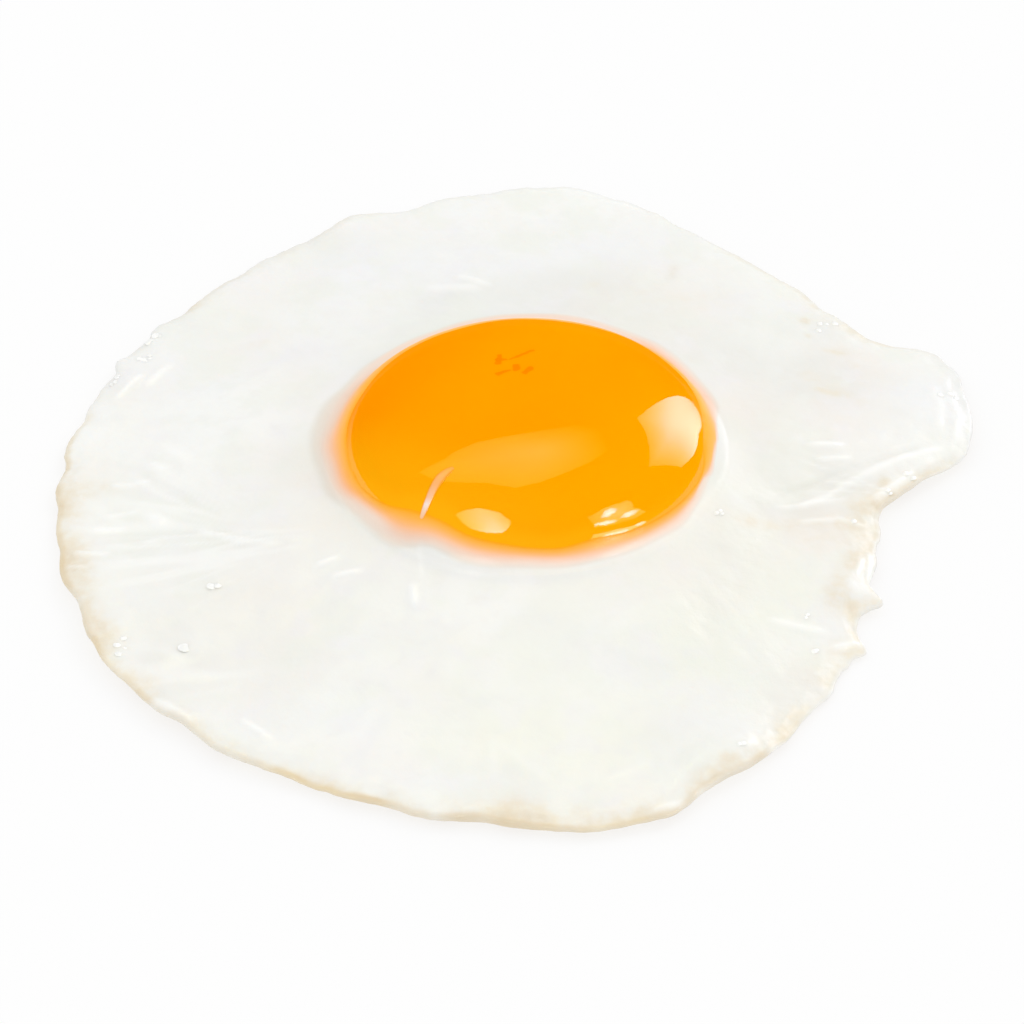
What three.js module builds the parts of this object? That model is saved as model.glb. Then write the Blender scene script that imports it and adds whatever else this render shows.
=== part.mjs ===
// A fried egg, sunny side up: a set white with a mound round its middle, and the yolk seated in it.
// Millimetres, +Z up. The origin is on the plate, under the middle of the yolk.
// Angles are in degrees, anticlockwise from +X, seen from above.
import * as THREE from "three";

// The yolk is a flattened ball. Its waist is its widest level, where the white grips it.
const YOLK = {
  halfWidth: 21.0, // along X
  halfDepth: 20.8, // along Y
  waistZ: 7.0,
  rise: 7.6, // waist to crown
  drop: 5.8, // waist to underside
  fullness: 2.2, // 2 is an ellipse, more is fuller in the shoulders
};

// The white laps up the yolk's flank as a thin film. LAP is the yolk's latitude where the film ends.
const LAP = { mean: 5, sway: 8, towards: 215 };
const SEAT_GAP = 0.3; // between yolk and white
const FILM = 0.5; // the film's thickness at its lip
const FLANK_REACH = 2.4; // how far out from the yolk the film has fallen to the mound

// The top of the white falls from the mound to the rim.
const MOUND_Z = 6.6;
const MOUND_POWER = 1.6; // 1 is a straight slope, more is hollow
const CALM_SHARE = 0.3; // swells and folds die out over this share of the top, towards the yolk
const RIM_THICKNESS = 1.35;
const REST_SHARE = 0.8; // the underside is flat out to this share of the rim's radius
const RIM_LIFT = 0.6; // mean height of the rim's lower edge

// The rim seen from above: [angle, radius], joined by a smooth closed curve.
const RIM = [
  [-178, 52.8], [-160, 54.1], [-140, 55.7], [-120, 55.8], [-100, 56.3], [-84, 57.8], // left and near side
  [-75, 57.3], [-66, 53.7], [-58, 51.4], [-52, 49.3], [-46, 47.8], [-40, 45.8], // falls back beside the bay
  [-31, 43.0], [-20, 41.0], [-9, 40.3], [-1, 43.6], // the bay
  [6, 50.4], [14, 52.8], [22, 53.8], [28, 52.4], // the tongue
  [34, 49.1], [42, 48.0], [55, 49.8], [68, 51.9], // the shoulder
  [79, 57.2], [86, 58.1], [97, 57.2], [107, 55.6], // far side
  [120, 54.4], [135, 52.4], [150, 51.6], [165, 52.6], // far left
];

// Narrow points and blisters that stick out of the rim: where, how wide in degrees, how far in millimetres.
const SPURS = [
  { at: -28.4, spread: 2.0, out: 2.3 },
  { at: -37.8, spread: 1.6, out: 1.3 },
  { at: -178, spread: 2.6, out: 0.8 },
  { at: 27.6, spread: 1.8, out: 1.6 },
  { at: 113, spread: 4.0, out: 1.6 },
  { at: 146, spread: 1.8, out: 0.9 },
  { at: 155, spread: 1.8, out: 0.9 },
];

// Small waves along the rim: how many in a turn, how deep, and where they start.
const NIBBLES = [
  { waves: 17, depth: 0.22, start: 40 },
  { waves: 29, depth: 0.16, start: 100 },
  { waves: 41, depth: 0.12, start: 250 },
];

// The rim's lower edge lifts off the plate in slow waves.
const LIFTS = [
  { waves: 2, depth: 0.25, start: 30 },
  { waves: 5, depth: 0.22, start: 75 },
  { waves: 9, depth: 0.12, start: 10 },
];

// The rim's rounded section, from top to bottom: how far in from the edge, and the share of the height.
const RIM_SECTION = [
  { inset: 0.6, level: 0.95 },
  { inset: 0.1, level: 0.7 },
  { inset: 0, level: 0.35 },
  { inset: 0.6, level: 0 },
];

// Broad swells of the top, as plane waves: length, height, and the direction they run in.
const SWELLS = [
  { length: 31, height: 0.22, towards: 20, start: 60 },
  { length: 23, height: 0.2, towards: 110, start: 200 },
  { length: 17, height: 0.14, towards: 65, start: 130 },
  { length: 14, height: 0.1, towards: 155, start: 300 },
];

// Ridges (height above 0) and furrows (below 0) along a straight line over the top, and round blisters
// where both ends are the same point.
const FOLDS = [
  { from: [20, -8], to: [39, -5.5], width: 2.2, height: 0.9 }, // strands drawn to the neck of the tongue
  { from: [24, -1.5], to: [46, 2.5], width: 1.8, height: 0.6 },
  { from: [25, -12.5], to: [37, -9.5], width: 1.6, height: 0.45 },
  { from: [22, -4.5], to: [40, -2.5], width: 1.5, height: -0.5 },
  { from: [-41, 14.5], to: [-27, 23], width: 2.6, height: -0.5 }, // furrow on the far left
  { from: [-27, 23], to: [-9, 33], width: 3.0, height: -0.35 },
  { from: [-46, -4], to: [-31, -12], width: 1.8, height: 0.4 }, // pleats on the left
  { from: [-46, 3], to: [-33, -7], width: 1.6, height: 0.35 },
  { from: [-46, -12], to: [-30, -13.5], width: 1.6, height: 0.35 },
  { from: [-31, -12.8], to: [-25, -14.8], width: 1.2, height: 0.45 },
  { from: [-11.3, -22], to: [-12, -26.5], width: 1.4, height: 0.5 }, // crease below the yolk
  { from: [17, -49], to: [24, -44], width: 2.0, height: 0.6 }, // fold on the near right
  { from: [46, 16], to: [46, 22], width: 2.2, height: 0.6 }, // thick end of the tongue
  { from: [35, -19.5], to: [35, -19.5], width: 2.6, height: 0.7 }, // blisters
  { from: [-44.2, 25], to: [-44.2, 25], width: 2.0, height: 0.8 },
  { from: [-46.5, 18.5], to: [-46.5, 18.5], width: 1.8, height: 0.7 },
  { from: [-34, -20.3], to: [-34, -20.3], width: 1.4, height: 0.6 },
  { from: [-36.6, -30.3], to: [-36.6, -30.3], width: 1.4, height: 0.6 },
  { from: [-39.5, -31], to: [-39.5, -31], width: 2.4, height: 0.5 },
];

// How the surfaces are divided. Each ring's count divides its neighbour's, or is divided by it.
const RIM_POINTS = 160;
const YOLK_POINTS = 80;
const UNDERSIDE_POINTS = 16;
const UNDERSIDE_RADIUS = 8;
const TOP_SHARES = [0, 0.04, 0.09, 0.15, 0.22, 0.3, 0.38, 0.46, 0.54, 0.62, 0.7, 0.78, 0.86, 0.94];
const DOME_LATITUDES = [84, 72, 62, 53, 45, 37, 29, 21, 13, 5, -4];
const BOWL_LATITUDES = [-15, -30, -45, -61, -77]; // shared by the yolk's underside and its seat
const POLE_LATITUDE = 70; // nearer the poles than this, a ring has a quarter of the points

const { degToRad, euclideanModulo, clamp, lerp, smoothstep } = THREE.MathUtils;
const sin = (angle) => Math.sin(degToRad(angle));
const cos = (angle) => Math.cos(degToRad(angle));
const wave = ({ waves, depth, start }, angle) => depth * sin(waves * angle + start);
const bump = (distance, spread) => Math.exp(-((distance / spread) ** 2));

// The shortest way round from one angle to another.
const turn = (from, to) => euclideanModulo(to - from + 180, 360) - 180;

// A smooth step from one value to another, with the slopes it starts and ends with.
function hermite(t, from, slopeFrom, to, slopeTo) {
  const rest = 1 - t;
  const values = rest * rest * (1 + 2 * t) * from + t * t * (3 - 2 * t) * to;
  return values + rest * rest * t * slopeFrom - t * t * rest * slopeTo;
}

// The smooth closed curve through RIM, as a radius at an angle.
function rimCurve(angle) {
  const wrapped = RIM[0][0] + euclideanModulo(angle - RIM[0][0], 360);
  const i = RIM.findLastIndex(([at]) => at <= wrapped);
  const [before, from, to, after] = [-1, 0, 1, 2].map((step) => RIM.at((i + step) % RIM.length));
  const span = euclideanModulo(to[0] - from[0], 360);
  const slope = (a, b) => (span * (b[1] - a[1])) / euclideanModulo(b[0] - a[0], 360);
  return hermite((wrapped - from[0]) / span, from[1], slope(before, to), to[1], slope(from, after));
}

function rimRadius(angle) {
  const spurs = SPURS.reduce((sum, { at, spread, out }) => sum + out * bump(turn(at, angle), spread), 0);
  const nibbles = NIBBLES.reduce((sum, nibble) => sum + wave(nibble, angle), 0);
  return rimCurve(angle) + spurs + nibbles;
}

const rimLift = (angle) => RIM_LIFT + LIFTS.reduce((sum, lift) => sum + wave(lift, angle), 0);

// The radius of the yolk's waist at an angle.
function waistRadius(angle) {
  return 1 / Math.hypot(cos(angle) / YOLK.halfWidth, sin(angle) / YOLK.halfDepth);
}

// A point on the yolk's meridian, moved out by a gap: its share of the waist's radius, and its height.
function yolkMeridian(latitude, gap = 0) {
  const power = 2 / YOLK.fullness;
  const reach = latitude > 0 ? YOLK.rise + gap : -YOLK.drop - gap;
  return { share: cos(latitude) ** power, z: YOLK.waistZ + reach * Math.abs(sin(latitude)) ** power };
}

const lapLatitude = (angle) => LAP.mean + LAP.sway * cos(angle - LAP.towards);

const lipRadius = (angle) => waistRadius(angle) + SEAT_GAP + FILM;

// Ridges, furrows and blisters at a point of the top.
function foldHeight(x, y) {
  return FOLDS.reduce((sum, { from, to, width, height }) => {
    const [dx, dy] = [to[0] - from[0], to[1] - from[1]];
    const length2 = dx * dx + dy * dy;
    const along = length2 ? ((x - from[0]) * dx + (y - from[1]) * dy) / length2 : 0;
    const near = clamp(along, 0, 1);
    return sum + height * bump(Math.hypot(x - from[0] - near * dx, y - from[1] - near * dy), width);
  }, 0);
}

function swellHeight(x, y) {
  return SWELLS.reduce((sum, { length, height, towards, start }) => {
    const along = x * cos(towards) + y * sin(towards);
    return sum + height * sin((360 * along) / length + start);
  }, 0);
}

// The white's top at a radius: mound, film, swells and folds.
function topHeight(angle, radius) {
  const share = (radius - lipRadius(angle)) / (rimRadius(angle) - lipRadius(angle));
  const rimTop = rimLift(angle) + RIM_THICKNESS;
  const mound = rimTop + (MOUND_Z - rimTop) * Math.max(0, 1 - share) ** MOUND_POWER;
  const climb = yolkMeridian(lapLatitude(angle)).z - MOUND_Z;
  const film = climb * bump(radius - waistRadius(angle), FLANK_REACH);
  const open = smoothstep(share, 0, CALM_SHARE);
  const [x, y] = [radius * cos(angle), radius * sin(angle)];
  return mound + film + open * (swellHeight(x, y) + foldHeight(x, y));
}

// A ring of points round the origin: at(angle) gives each one's radius and height.
function ring(count, at) {
  return Array.from({ length: count }, (_, i) => {
    const angle = (360 * i) / count;
    const { radius, z } = at(angle);
    return new THREE.Vector3(radius * cos(angle), radius * sin(angle), z);
  });
}

function centreOf(points) {
  const sum = points.reduce((total, point) => total.add(point), new THREE.Vector3());
  return sum.divideScalar(points.length);
}

// Triangles between two rings, one of which may have several times as many points as the other.
function stitch(inner, outer) {
  const coarse = Math.min(inner.length, outer.length);
  const [a, b] = [inner.length / coarse, outer.length / coarse];
  const steps = Math.max(a, b);
  const faces = [];
  for (let i = 0; i < coarse; i++) {
    const at = (points, per, step) => points[(i * per + Math.round((step * per) / steps)) % points.length];
    for (let step = 0; step < steps; step++) {
      const [from, to] = [at(inner, a, step), at(inner, a, step + 1)];
      const [outerFrom, outerTo] = [at(outer, b, step), at(outer, b, step + 1)];
      if (outerFrom !== outerTo) faces.push([from, outerFrom, outerTo]);
      if (from !== to) faces.push([from, outerTo, to]);
    }
  }
  return faces;
}

// A closed body whose skin runs ring by ring, from the middle of its upper side to that of its underside.
function bodyOfRings(rings) {
  const fan = (points, flip) => {
    const centre = centreOf(points);
    return points.map((p, i) => {
      const next = points[(i + 1) % points.length];
      return flip ? [centre, next, p] : [centre, p, next];
    });
  };
  const faces = [
    ...fan(rings[0], false),
    ...rings.slice(1).flatMap((outer, i) => stitch(rings[i], outer)),
    ...fan(rings.at(-1), true),
  ];
  const geometry = new THREE.BufferGeometry().setFromPoints(faces.flat());
  geometry.computeVertexNormals();
  return geometry;
}

const pointsAt = (latitude) => (Math.abs(latitude) > POLE_LATITUDE ? YOLK_POINTS / 4 : YOLK_POINTS);

function yolkGeometry() {
  const level = (latitude) => {
    const { share, z } = yolkMeridian(latitude);
    return ring(pointsAt(latitude), (angle) => ({ radius: share * waistRadius(angle), z }));
  };
  return bodyOfRings([...DOME_LATITUDES, ...BOWL_LATITUDES].map(level));
}

// The hollow that the yolk sits in, from its floor up to the end of the film.
function seatRings() {
  const level = (count, latitudeAt) =>
    ring(count, (angle) => {
      const { share, z } = yolkMeridian(latitudeAt(angle), SEAT_GAP);
      return { radius: share * (waistRadius(angle) + SEAT_GAP), z };
    });
  const bowl = BOWL_LATITUDES.toReversed().map((latitude) => level(pointsAt(latitude), () => latitude));
  const waist = level(YOLK_POINTS, (angle) => (BOWL_LATITUDES[0] + lapLatitude(angle)) / 2);
  return [...bowl, waist, level(YOLK_POINTS, lapLatitude)];
}

function whiteGeometry() {
  const top = TOP_SHARES.map((share) =>
    ring(share === 0 ? YOLK_POINTS : RIM_POINTS, (angle) => {
      const radius = lerp(lipRadius(angle), rimRadius(angle), share);
      return { radius, z: topHeight(angle, radius) };
    }),
  );
  const edge = RIM_SECTION.map(({ inset, level }) =>
    ring(RIM_POINTS, (angle) => ({
      radius: rimRadius(angle) - inset,
      z: lerp(rimLift(angle), topHeight(angle, rimRadius(angle)), level),
    })),
  );
  const rest = ring(YOLK_POINTS, (angle) => ({ radius: REST_SHARE * rimRadius(angle), z: 0 }));
  const middle = ring(UNDERSIDE_POINTS, () => ({ radius: UNDERSIDE_RADIUS, z: 0 }));
  return bodyOfRings([...seatRings(), ...top, ...edge, rest, middle]);
}

function piece(name, geometry, colour, roughness) {
  const material = new THREE.MeshStandardMaterial({ color: colour, roughness, metalness: 0 });
  const mesh = new THREE.Mesh(geometry, material);
  mesh.name = name;
  return mesh;
}

const egg = new THREE.Group();
egg.add(piece("egg_white", whiteGeometry(), 0xf5f5ee, 0.3));
egg.add(piece("egg_yolk", yolkGeometry(), 0xfea203, 0.08));

export default egg;
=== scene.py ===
import math

import bpy
import numpy as np
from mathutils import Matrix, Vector


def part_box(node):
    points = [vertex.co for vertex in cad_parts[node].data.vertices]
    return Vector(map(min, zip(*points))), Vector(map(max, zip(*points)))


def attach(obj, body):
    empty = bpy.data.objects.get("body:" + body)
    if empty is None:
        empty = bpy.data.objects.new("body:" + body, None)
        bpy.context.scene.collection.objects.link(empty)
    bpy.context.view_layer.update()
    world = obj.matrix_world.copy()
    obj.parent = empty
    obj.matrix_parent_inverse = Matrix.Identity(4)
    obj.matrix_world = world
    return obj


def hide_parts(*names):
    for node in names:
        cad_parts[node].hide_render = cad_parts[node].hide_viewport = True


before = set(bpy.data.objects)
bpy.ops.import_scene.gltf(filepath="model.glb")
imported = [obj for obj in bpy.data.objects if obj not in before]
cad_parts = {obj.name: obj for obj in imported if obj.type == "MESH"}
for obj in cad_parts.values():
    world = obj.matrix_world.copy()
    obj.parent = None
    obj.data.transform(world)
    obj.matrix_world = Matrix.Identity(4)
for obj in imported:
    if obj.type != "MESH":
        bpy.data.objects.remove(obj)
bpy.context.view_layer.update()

MM = 0.001

# The yolk, a flattened ball. Its waist is its widest level, where the white grips it.
YOLK_LOW, YOLK_HIGH = (np.array(corner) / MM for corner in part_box("egg_yolk"))
HALF_WIDTH, HALF_DEPTH = (YOLK_HIGH - YOLK_LOW)[:2] / 2
WAIST_Z = 7.0
RISE = YOLK_HIGH[2] - WAIST_Z
DROP = WAIST_Z - YOLK_LOW[2]
FULLNESS = 2.2

# The white laps up the yolk's flank as a thin film. LAP is the yolk's latitude where the film ends.
LAP = {"mean": 5, "sway": 8, "towards": 215}
SEAT_GAP = 0.3
FILM = 0.5
FLANK_REACH = 1.4
FOOT = 1.2  # how far outside the lip the film has become the top
FAR_FOOT = 0.8  # and how much further on the yolk's far side
FILM_LOW = -6  # the yolk's latitude where the film has left it
FILM_SINK = 0.03  # how deep in the yolk the film starts
SEAT_LOW = -80  # the yolk's latitude where the hollow under it starts

# The top of the white falls from the mound to the rim.
MOUND_Z = 6.6
MOUND_POWER = 1.6
CALM_SHARE = 0.3
RIM_THICKNESS = 1.35
REST_SHARE = 0.8
RIM_LIFT = 0.6
RIM_EDGE = 0.55  # how far inside the rim the top ends and its rounded edge starts

# The rim seen from above: (angle, radius), joined by a smooth closed curve. The points were picked on the
# photo, turned into angles and radii with a script, chosen by hand, and moved by differences that another
# script measured.
RIM = [
    (-178, 52.8), (-160, 54.1), (-140, 55.7), (-120, 55.8), (-100, 56.3), (-84, 57.8),
    (-75, 57.3), (-66, 53.7), (-58, 51.4), (-52, 49.3), (-46, 47.8), (-40, 45.8),
    (-31, 43.0), (-20, 41.0), (-9, 40.3), (-1, 43.6),
    (6, 50.4), (14, 52.8), (22, 53.8), (28, 52.4),
    (34, 49.1), (42, 48.0), (55, 49.8), (68, 51.9),
    (79, 57.2), (86, 58.1), (97, 57.2), (107, 55.6),
    (120, 54.4), (135, 52.4), (150, 51.6), (165, 52.6),
]

# Narrow points and blisters that stick out of the rim: angle, spread in degrees, millimetres out.
SPURS = [
    (-28.4, 2.0, 2.3), (-37.8, 1.6, 1.3), (-178, 2.6, 0.8), (27.4, 2.0, 1.3), (29.8, 1.1, 0.8),
    (113, 4.0, 1.6), (146, 1.8, 0.9), (155, 1.8, 0.9),
]

# Waves round the rim: how many in a turn, how deep, and where they start.
NIBBLES = [(17, 0.22, 40), (29, 0.16, 100), (41, 0.12, 250)]
LIFTS = [(2, 0.25, 30), (5, 0.22, 75), (9, 0.12, 10)]

# Broad swells of the top, as plane waves: length, height, direction, start.
SWELLS = [(31, 0.22, 20, 60), (23, 0.2, 110, 200), (17, 0.14, 65, 130), (14, 0.1, 155, 300)]

# Ridges and furrows along a straight line over the top: from, to, width, height.
FOLDS = [
    ((27, -7), (39, -5), 1.6, 0.2),
    ((30, -1.5), (46, 2.5), 1.4, 0.16),
    ((28, -12), (37, -9.5), 1.4, 0.12),
    ((28, -4.5), (40, -2.5), 1.4, -0.15),
    ((-41, 14.5), (-27, 23), 2.6, -0.5),
    ((-27, 23), (-9, 33), 3.0, -0.35),
    ((-46, -4), (-31, -12), 1.6, 0.3),
    ((-46, 3), (-33, -7), 1.6, 0.25),
    ((-46, -12), (-30, -13.5), 1.4, 0.25),
    ((-31, -12.8), (-25, -14.8), 1.2, 0.3),
    ((-11.3, -22), (-12, -26.5), 1.4, 0.35),
    ((17, -49), (24, -44), 2.0, 0.4),
    ((46, 16), (46, 22), 2.6, 0.15),
    ((35, -19.5), (35, -19.5), 2.6, 0.5),
    ((-44.2, 25), (-44.2, 25), 2.0, 0.5),
    ((-46.5, 18.5), (-46.5, 18.5), 1.8, 0.4),
    ((-34, -20.3), (-34, -20.3), 1.0, 0.35),
    ((-36.6, -30.3), (-36.6, -30.3), 1.0, 0.35),
    ((-39.5, -31), (-39.5, -31), 2.4, 0.4),
    ((17, 40), (16, 36), 1.6, -0.3),
]

# The halo, where the yolk's colour shows through the film. At angles round the yolk: the yolk's latitude
# where the film ends, and in millimetres from there how far it turns pale, where its pale border starts, and
# that border's width. A script sampled the photo every 10 degrees: some of the film's ends are as it
# printed them, and the rest was worked out from its figures and adjusted.
HALO = [
    (-180, 20.6, 4.0, 4.4, 1.9), (-170, 16, 3.0, 3.5, 1.7), (-160, 13.1, 2.6, 2.9, 1.9),
    (-150, 12.6, 1.7, 2.0, 1.7), (-140, 15.3, 1.8, 2.3, 2.0), (-130, 22.2, 3.1, 3.5, 1.8),
    (-120, 23.3, 2.4, 2.6, 1.1), (-110, 20.4, 2.0, 2.3, 1.3), (-100, 18.2, 1.8, 2.1, 1.1),
    (-90, 14.2, 1.45, 1.65, 1.1), (-80, 12.6, 1.5, 1.7, 1.0), (-70, 14.5, 1.9, 2.0, 0.9),
    (-60, 12.5, 1.6, 1.8, 1.0), (-50, 9.9, 1.4, 1.6, 0.9), (-40, 9.4, 1.4, 1.7, 1.0),
    (-30, 11.5, 1.0, 1.3, 0.8), (-20, 13, 0.7, 0.7, 1.2), (-10, 23, 4.4, 1.8, 0.4),
    (0, 25, 5.3, 2.5, 0.3), (10, 25, 3.9, 3.2, 0.5), (20, 27, 4.6, 4.8, 1.2),
    (30, 29.5, 6.6, 5.1, 1.5), (40, 31, 8.8, 5.7, 1.6), (50, 32.5, 9.8, 6.7, 1.6),
    (60, 37, 8.0, 9.0, 1.6), (75, 40.5, 4.6, 11, 1.0), (90, 40.5, 3.8, 11.1, 0.8),
    (105, 41.5, 2.8, 10.5, 1.0), (120, 42, 3.0, 9.6, 1.0), (130, 40, 4.2, 8.8, 0.7),
    (140, 36, 6.0, 7.7, 1.4), (150, 33, 6.0, 6.6, 1.6), (160, 30, 5.4, 6.3, 2.2),
    (170, 26, 4.6, 5.4, 2.2),
]
HALO_SPAN = 1.8  # the halo's measure where the white has its own colour
FILM_WAVES = [(5, 0.9, 20), (9, 0.6, 130), (14, 0.4, 300)]

# Finer strands and creases, as FOLDS are. Their ends were picked on the photo, as the places of FOLDS,
# BUBBLES, SCORCHES and MARKS were, and turned into millimetres with a script. Some are as it printed them.
STRANDS = [
    ((30.6, -6.6), (37.6, -1.2), 0.55, 0.2),
    ((37.6, -1.2), (42.7, 2.8), 0.6, 0.24),
    ((42.7, 2.8), (46.5, 4.8), 0.6, 0.2),
    ((28, -5), (37, 0.3), 0.4, -0.2),
    ((37, 0.3), (44, 4.6), 0.4, -0.2),
    ((28, -7.3), (35.5, -4.6), 0.4, 0.15),
    ((32, 2.7), (35.4, 3.4), 0.5, 0.25),
    ((32.8, 0.6), (36.2, 1.4), 0.45, 0.2),
    ((30.3, -8.8), (34.9, -7.7), 0.45, 0.18),
    ((34.9, -7.7), (38, -8.6), 0.45, 0.18),
    ((39, -4), (43.4, 0.2), 0.6, 0.3),
    ((38, -13), (37.6, -18), 0.4, 0.3),
    ((37, -14.5), (36.4, -17.5), 0.4, 0.25),
    ((-36.5, -11), (-31.2, -14.4), 0.5, 0.3),
    ((-31.2, -14.4), (-28, -15.2), 0.4, 0.22),
    ((-23.1, -19.2), (-21, -18.2), 0.4, 0.25),
    ((-21.3, -20.8), (-18.4, -20.4), 0.4, 0.25),
    ((-12.6, -22.8), (-12.3, -25.7), 0.5, 0.25),
    ((-11.9, -18.3), (-11.6, -22), 0.35, 0.12),
    ((-3.8, -44.4), (1.7, -50), 0.7, 0.06),
    ((-3.9, -44.9), (-3.6, -49.5), 0.5, 0.06),
    ((8.5, -50.6), (12.5, -48.4), 0.6, 0.06),
    ((25.6, -45.5), (30, -42.6), 0.55, 0.3),
    ((34.2, -39.6), (35.6, -37.7), 0.45, 0.25),
    ((17.9, -52.8), (20.6, -51), 0.55, 0.25),
    ((13, -55.2), (16, -54), 0.45, 0.2),
    ((-44, 17), (-41.5, 20.5), 0.5, 0.25),
    ((-47.5, 15), (-44.5, 18.5), 0.45, 0.25),
    ((-12, 34.3), (-6, 33), 0.8, 0.2),
    ((-8, 36), (-4.5, 33.6), 0.5, 0.22),
    ((26.5, -25.5), (32, -26.2), 0.6, 0.2),
    ((33.2, -28.4), (36.5, -27.2), 0.5, 0.25),
    ((-40, -38), (-36, -41), 0.45, 0.2),
    ((-30.5, -41.5), (-27.5, -44.5), 0.45, 0.25),
    ((-50, -13.1), (-46.6, -13.7), 0.4, 0.28),
    ((-48.6, -8.9), (-45.2, -9.2), 0.5, 0.22),
    ((-46.9, -6.5), (-44, -6.7), 0.4, 0.18),
    ((-46.9, -1.5), (-44.6, -1.9), 0.5, 0.2),
    ((-44.3, -1.4), (-42.9, -1.7), 0.45, 0.2),
    ((-51, -15.5), (-49, -15.9), 0.4, 0.2),
    ((-42.6, -12), (-41.1, -12.1), 0.4, 0.2),
    ((-42.3, -7.6), (-40.6, -9), 0.7, 0.2),
    ((-41.6, 5), (-38.2, 1.3), 0.8, 0.16),
    ((-42.7, 1.8), (-40.7, 0), 0.7, 0.16),
    ((46.9, 16.5), (47.5, 13), 0.6, 0.12),
    ((47.5, 13), (47, 8.5), 0.6, 0.15),
]

# Fine streaks that run towards a point of the top: the point, the side they lie on, their spread in degrees,
# where they start and end from the point, the angle from one to the next, and their height.
FANS = [
    {"point": (-31, -12), "towards": 155, "spread": 32, "near": 9, "far": 23, "pitch": 6.5, "height": 0.12},
    {"point": (-20, -15), "towards": 182, "spread": 18, "near": 12, "far": 32, "pitch": 4.2, "height": 0.12},
    {"point": (43, -3), "towards": 174, "spread": 16, "near": 3, "far": 17, "pitch": 6, "height": 0.08},
    {"point": (-26, -34), "towards": 178, "spread": 20, "near": 8, "far": 22, "pitch": 7, "height": 0.08},
]

# Clusters of small bubbles in the white: middle, spread, how many, smallest and largest radius.
BUBBLES = [
    ((-44.3, 26.4), 1.3, 6, 0.3, 0.6),
    ((-44.2, 22), 1.1, 5, 0.3, 0.6),
    ((-47.5, 18.5), 0.9, 3, 0.3, 0.5),
    ((-33.9, -21.2), 0.6, 3, 0.35, 0.65),
    ((-37.1, -30.2), 0.2, 2, 0.45, 0.7),
    ((-44.5, -30.5), 1.6, 4, 0.25, 0.5),
    ((21.4, -10.4), 0.7, 3, 0.25, 0.45),
    ((43.2, 0), 0.6, 2, 0.3, 0.5),
    ((40.9, -2.8), 0.4, 2, 0.25, 0.45),
    ((36.4, -8.2), 0.3, 1, 0.35, 0.45),
    ((30.6, -23.9), 0.4, 2, 0.25, 0.45),
    ((31.2, -28.9), 0.5, 2, 0.3, 0.5),
    ((21.8, -45.8), 0.8, 3, 0.3, 0.55),
    ((48, 15.5), 1.2, 3, 0.3, 0.5),
    ((34.5, 28.5), 1.6, 5, 0.25, 0.5),
]

# The rim's toasting at angles round it: the brown line along its edge, the width of the tan band inside
# the line in millimetres, how deep the band's colour is, and how grey the edge is where it is clear as glass.
TOASTING = [
    (-178, 0.9, 2.4, 0.8, 0.2), (-172, 0.9, 2.0, 0.7, 0.2), (-164, 1.1, 3.0, 0.85, 0.15),
    (-156, 0.5, 2.0, 0.5, 0.3), (-148, 0.8, 2.6, 0.65, 0.2), (-140, 0.9, 1.4, 0.45, 0.3),
    (-132, 0.5, 1.6, 0.4, 0.4), (-124, 0.55, 1.4, 0.4, 0.4), (-116, 1.0, 1.3, 0.55, 0.2),
    (-108, 1.1, 1.6, 0.6, 0.2), (-100, 0.6, 1.8, 0.5, 0.3), (-92, 1.0, 2.8, 0.85, 0.2),
    (-84, 0.8, 2.6, 0.8, 0.3), (-76, 0.85, 2.2, 0.75, 0.3), (-68, 0.65, 1.6, 0.5, 0.4),
    (-60, 0.75, 2.2, 0.6, 0.4), (-52, 0.25, 3.0, 0.45, 0.6), (-41, 0.2, 3.4, 0.45, 0.7),
    (-34, 0.3, 3.0, 0.5, 0.5), (-24, 0.1, 2.2, 0.35, 0.7), (-13, 0.3, 3.0, 0.5, 0.6),
    (-6, 0.75, 3.6, 0.8, 0.4), (1, 0.5, 2.4, 0.6, 0.5), (8, 0.1, 1.0, 0.1, 1.0),
    (24, 0.1, 1.0, 0.1, 0.8), (32, 0.5, 1.6, 0.45, 0.6), (41, 0.3, 2.0, 0.4, 0.5),
    (52, 0.3, 1.4, 0.3, 0.6), (69, 0.2, 1.2, 0.2, 0.5), (80, 0.1, 1.0, 0.1, 0.5),
    (96, 0.2, 1.0, 0.15, 0.6), (107, 0.3, 1.0, 0.15, 0.5), (116, 0.5, 1.6, 0.4, 0.7),
    (122, 0.5, 1.4, 0.35, 0.8), (134, 0.6, 1.1, 0.3, 0.7), (140, 0.7, 1.6, 0.45, 0.6),
    (146, 0.2, 1.3, 0.2, 0.8), (157, 0.2, 0.9, 0.15, 0.7), (164, 0.4, 1.0, 0.3, 0.6),
    (170, 0.7, 1.0, 0.35, 0.4), (176, 0.9, 1.4, 0.5, 0.3),
]

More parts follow.
